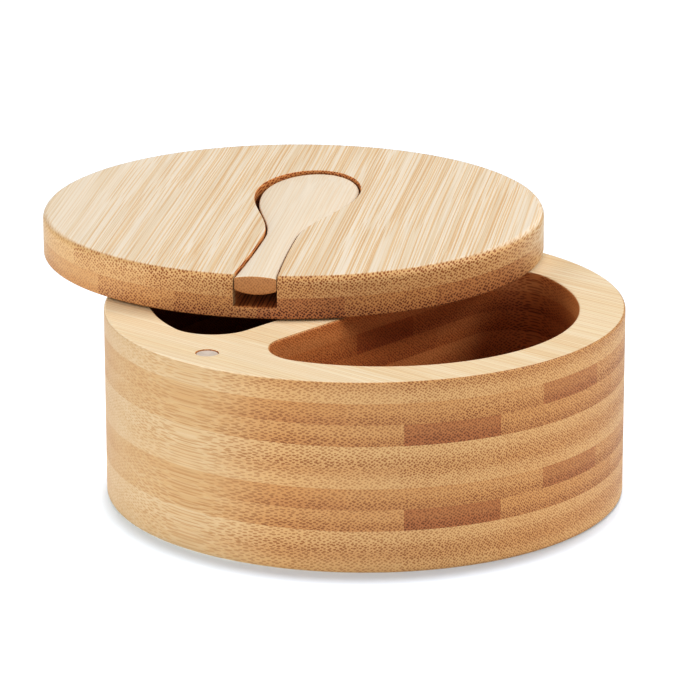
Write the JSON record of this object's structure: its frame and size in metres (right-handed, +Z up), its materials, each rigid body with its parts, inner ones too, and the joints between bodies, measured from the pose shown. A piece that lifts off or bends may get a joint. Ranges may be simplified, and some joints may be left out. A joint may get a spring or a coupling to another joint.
{
  "type": "salt box with swivel lid",
  "caption": "Round laminated bamboo salt box with two compartments, a swivel lid on an upright pin with a magnetic catch, and a small spoon lying in the lid.",
  "frame": {"origin": "middle of the box's round underside", "axes": "+Z up out of the box; +Y from the middle to the lid's pivot; -Y to the magnet; the grain runs along X"},
  "size_m": [0.1629, 0.143, 0.0545],
  "materials": {
    "bamboo_light": "sanded and oiled, pale bamboo",
    "bamboo_dark": "sanded and oiled, carbonised bamboo",
    "bamboo_spoon": "finely sanded pale bamboo",
    "steel": "drawn bright steel",
    "magnet": "dull nickel plate",
    "nylon": "natural nylon"
  },
  "bodies": {
    "box": {"body_ply_1": "bamboo_light", "body_ply_2": "bamboo_dark", "body_ply_3": "bamboo_dark", "body_ply_4": "bamboo_light", "body_ply_5": "bamboo_light", "body_ply_6": "bamboo_dark", "body_ply_7": "bamboo_dark", "body_ply_8": "bamboo_light", "body_ply_9": "bamboo_light", "body_magnet": "magnet", "pivot_washer": "nylon"},
    "lid": {"lid_lower_ply": "bamboo_dark", "lid_upper_ply": "bamboo_light", "pivot_pin": "steel", "lid_magnet": "magnet"},
    "spoon": {"spoon": "bamboo_spoon"}
  },
  "joints": [
    {"name": "lid_swing", "type": "hinge", "parent": "box", "child": "lid", "pos_m": [0, 0.0516, 0.0445], "axis": [0, 0, 1], "continuous": true},
    {"name": "spoon_lift", "type": "slide", "parent": "lid", "child": "spoon", "axis": [0, 0, 1], "range_m": [0, 0.04]}
  ]
}
